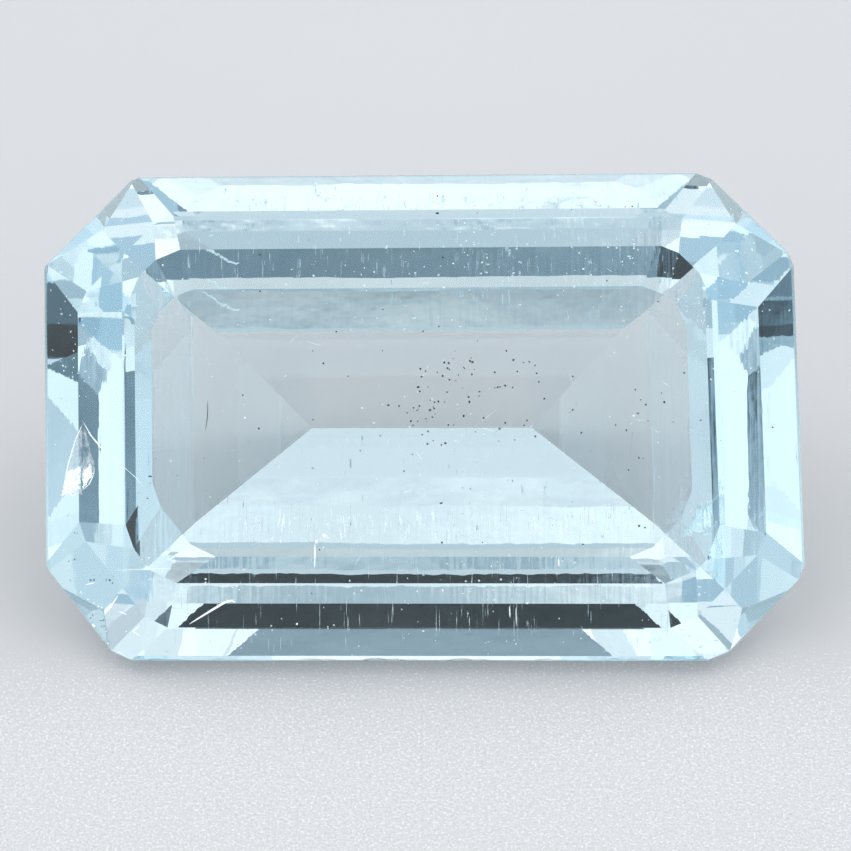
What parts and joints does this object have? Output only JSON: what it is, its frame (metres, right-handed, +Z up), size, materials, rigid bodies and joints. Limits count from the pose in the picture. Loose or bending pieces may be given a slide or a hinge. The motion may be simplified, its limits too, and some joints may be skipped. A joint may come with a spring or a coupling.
{
  "type": "rectangular step-cut gemstone",
  "caption": "Transparent rectangular step-cut stone with cut corners, a flat table, stepped crown and keeled pavilion, to show or set.",
  "frame": {"origin": "bottom centre of the stone's box, on the surface that it rests on", "axes": "+X along the stone's length, +Z up; the table faces up and towards -Y"},
  "size_m": [0.0092, 0.0048, 0.004],
  "materials": {
    "aquamarine": "polished facets, clear pale blue"
  },
  "bodies": {
    "root": {"cut_stone": "aquamarine"}
  },
  "joints": []
}
